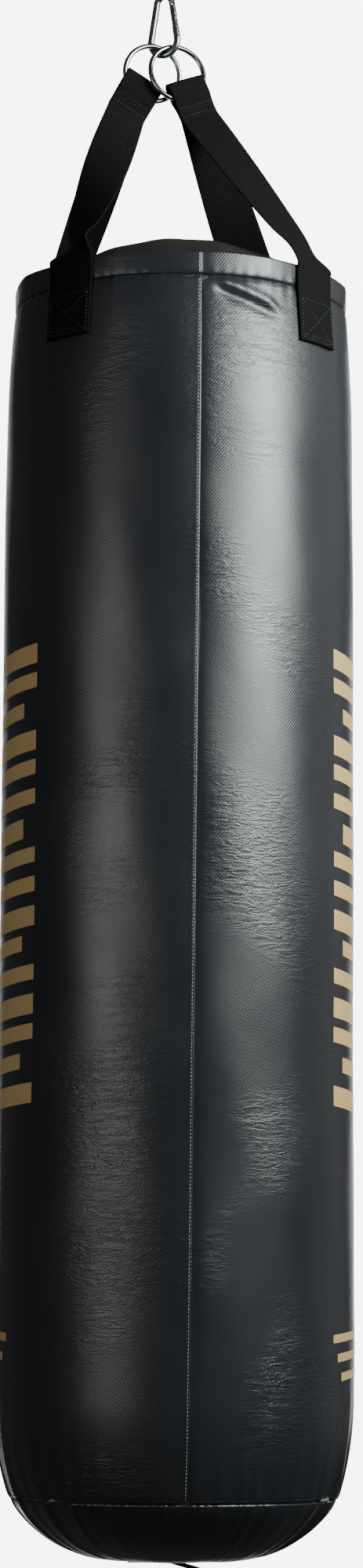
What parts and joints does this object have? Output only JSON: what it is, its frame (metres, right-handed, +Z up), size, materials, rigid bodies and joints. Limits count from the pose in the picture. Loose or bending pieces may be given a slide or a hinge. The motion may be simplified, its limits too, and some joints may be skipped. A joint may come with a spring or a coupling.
{
  "type": "hanging punching bag",
  "caption": "Round synthetic leather heavy bag hung by webbing slings and rings from a snap hook, with a zipped top and a bottom loop.",
  "frame": {"origin": "inside top of the snap hook, where it rests on what holds it", "axes": "+Z up along the hang, -Y towards the bag's front seam, +X to the viewer's right"},
  "size_m": [0.3534, 0.3534, 1.5959],
  "materials": {
    "zinc": "satin zinc plate",
    "zinc_gate": "satin zinc plate",
    "ring_steel": "bright nickel plate",
    "pin_steel": "satin",
    "spring_steel": "plain",
    "webbing": "ribbed weave, matt",
    "shell": "grained synthetic leather, semi-gloss",
    "cover": "synthetic leather, satin",
    "tape": "matt tape",
    "padding": "matt felt",
    "sack": "plain weave",
    "filling": "shredded textile",
    "sand": "sand in a cloth bag",
    "zip_plastic": "satin",
    "zip_metal": "black enamel"
  },
  "bodies": {
    "hook": {"hook_body": "zinc", "gate_rivet": "pin_steel"},
    "gate": {"hook_gate": "zinc_gate", "gate_latch_pin": "pin_steel", "gate_plunger": "pin_steel", "gate_spring": "spring_steel"},
    "rings": {"left_ring": "ring_steel", "right_ring": "ring_steel", "left_sling_eye": "webbing", "right_sling_eye": "webbing"},
    "zip_slider": {"zip_slider": "zip_metal"},
    "zip_pull": {"zip_pull": "zip_metal"},
    "bottom_loop": {"bottom_loop": "webbing"},
    "bag": {"front_left_leg": "webbing", "back_left_leg": "webbing", "front_right_leg": "webbing", "back_right_leg": "webbing", "left_wall_panel": "shell", "right_wall_panel": "shell", "hem_band": "shell", "wall_padding": "padding", "front_seam_tape": "tape", "back_seam_tape": "tape", "front_left_patch": "tape", "back_left_patch": "tape", "front_right_patch": "tape", "back_right_patch": "tape", "bottom_cover": "shell", "bottom_pad": "padding", "bottom_loop_base": "webbing", "inner_sack": "sack", "textile_filling": "filling", "upper_sand_bag": "sand", "middle_sand_bag": "sand", "lower_sand_bag": "sand", "top_cover_front": "cover", "top_cover_back": "cover", "zip_tape_front": "tape", "zip_tape_back": "tape", "zip_teeth": "zip_plastic", "top_pad": "padding", "zip_end_stops": "zip_plastic"}
  },
  "joints": [
    {"name": "gate_hinge", "type": "hinge", "parent": "hook", "child": "gate", "pos_m": [0.00809, -0.00407, -0.00716], "axis": [0.4493, 0.8934, 0], "range_deg": [0, 30], "stiffness_Nm_per_rad": 0.05, "springref_deg": -17.19},
    {"name": "side_swing", "type": "hinge", "parent": "hook", "child": "rings", "pos_m": [0, 0, -0.0445], "axis": [0.4493, 0.8934, 0], "range_deg": [-20, 20]},
    {"name": "fore_aft_swing", "type": "hinge", "parent": "rings", "child": "bag", "pos_m": [-0.00069, -0.00333, -0.12181], "axis": [0.9924, 0.12, -0.0273], "range_deg": [-20, 20]},
    {"name": "zip_slide", "type": "hinge", "parent": "bag", "child": "zip_slider", "pos_m": [0.0185, 0, -0.49314], "axis": [0, 1, 0], "range_deg": [-51, 0]},
    {"name": "zip_pull_flip", "type": "hinge", "parent": "zip_slider", "child": "zip_pull", "pos_m": [0.11983, 0, -0.28367], "axis": [0, 1, 0], "range_deg": [-160, 0]},
    {"name": "bottom_loop_flex", "type": "hinge", "parent": "bag", "child": "bottom_loop", "pos_m": [0.0145, 0, -1.5791], "axis": [0, 1, 0], "range_deg": [-13, 75], "stiffness_Nm_per_rad": 0.05}
  ]
}
